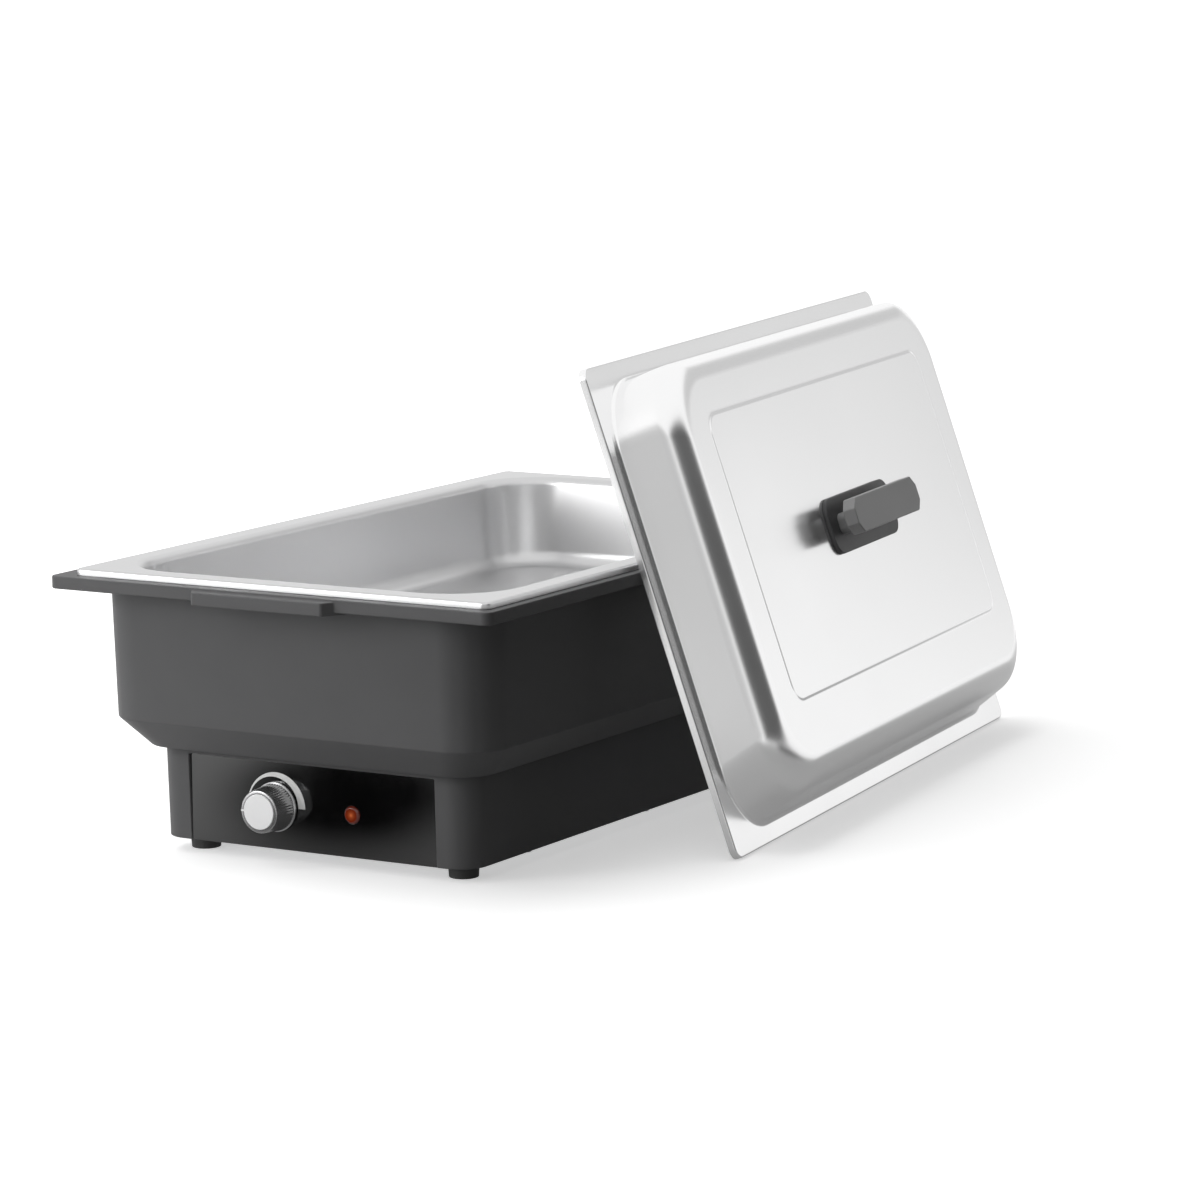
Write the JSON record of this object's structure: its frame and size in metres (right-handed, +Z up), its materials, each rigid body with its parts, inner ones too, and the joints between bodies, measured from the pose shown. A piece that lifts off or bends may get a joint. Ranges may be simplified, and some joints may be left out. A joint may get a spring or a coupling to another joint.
{
  "type": "electric chafing dish",
  "caption": "Electric chafing dish: a dark housing with a control panel holds a steel food pan over a heated water tank; the lid is off and leans on its right side.",
  "frame": {"origin": "on the table under the middle of the dish's housing", "axes": "+X right along the short front, seen from the front; +Y from the control panel to the rear; +Z up. The lid leans against the right side, at +X."},
  "size_m": [0.4345, 0.7374, 0.3225],
  "materials": {
    "housing_plastic": "fine matte grain, charcoal",
    "panel_gloss": "glossy black",
    "white_print": "white print",
    "amber_lens": "translucent amber lens",
    "control_plastic": "matte black",
    "brushed_cap": "brushed in one direction",
    "stainless": "satin stainless steel",
    "handle_plastic": "fine matte grain, black",
    "foot_rubber": "black rubber",
    "fastener_steel": "zinc-plated steel",
    "seal_silicone": "red silicone",
    "aluminium_plate": "mill finish",
    "element_steel": "heat-darkened steel",
    "sensor_copper": "plain copper",
    "phenolic": "moulded phenolic",
    "block_plastic": "off-white plastic",
    "wire_sleeve": "silicone sleeving",
    "bottom_steel": "galvanised sheet"
  },
  "bodies": {
    "dish": {"upper_housing": "housing_plastic", "lower_base": "housing_plastic", "housing_screws": "fastener_steel", "bottom_plate": "bottom_steel", "bottom_screws": "fastener_steel", "foot_front_left": "foot_rubber", "foot_front_right": "foot_rubber", "foot_rear_left": "foot_rubber", "foot_rear_right": "foot_rubber", "foot_screws": "fastener_steel", "foot_nuts": "fastener_steel", "water_tank": "stainless", "tank_seal": "seal_silicone", "heat_plate": "aluminium_plate", "heating_element": "element_steel", "reflector_tray": "aluminium_plate", "tray_spacers": "fastener_steel", "tank_nuts": "fastener_steel", "thermal_cutout": "phenolic", "control_panel": "panel_gloss", "panel_scale": "white_print", "pilot_lens": "amber_lens", "pilot_lamp_body": "control_plastic", "thermostat_body": "phenolic", "thermostat_screws": "fastener_steel", "thermostat_sensor": "sensor_copper", "cord_gland": "control_plastic", "gland_nut": "control_plastic", "terminal_block": "block_plastic", "internal_wires": "wire_sleeve"},
    "knob": {"knob_body": "control_plastic", "knob_cap": "brushed_cap", "knob_pointer": "white_print", "thermostat_shaft": "fastener_steel"},
    "pan": {"gn_pan": "stainless"},
    "lid": {"lid_shell": "stainless", "handle_plate": "handle_plastic", "handle_grip": "handle_plastic", "handle_screws": "fastener_steel", "handle_washers": "fastener_steel"}
  },
  "joints": [
    {"name": "knob_turn", "type": "hinge", "parent": "dish", "child": "knob", "pos_m": [-0.0285, -0.2261, 0.0382], "axis": [0, 1, 0], "range_deg": [0, 180]},
    {"name": "lid_lift_off", "type": "slide", "parent": "dish", "child": "lid", "axis": [0.9394, 0.1374, 0.3142], "range_m": [0, 0.3]},
    {"name": "pan_lift", "type": "slide", "parent": "dish", "child": "pan", "axis": [0, 0, 1], "range_m": [0, 0.15]}
  ],
  "couplings": [
    {"joint": "pan_lift", "follows": "lid_lift_off", "ratio": 0.5}
  ]
}
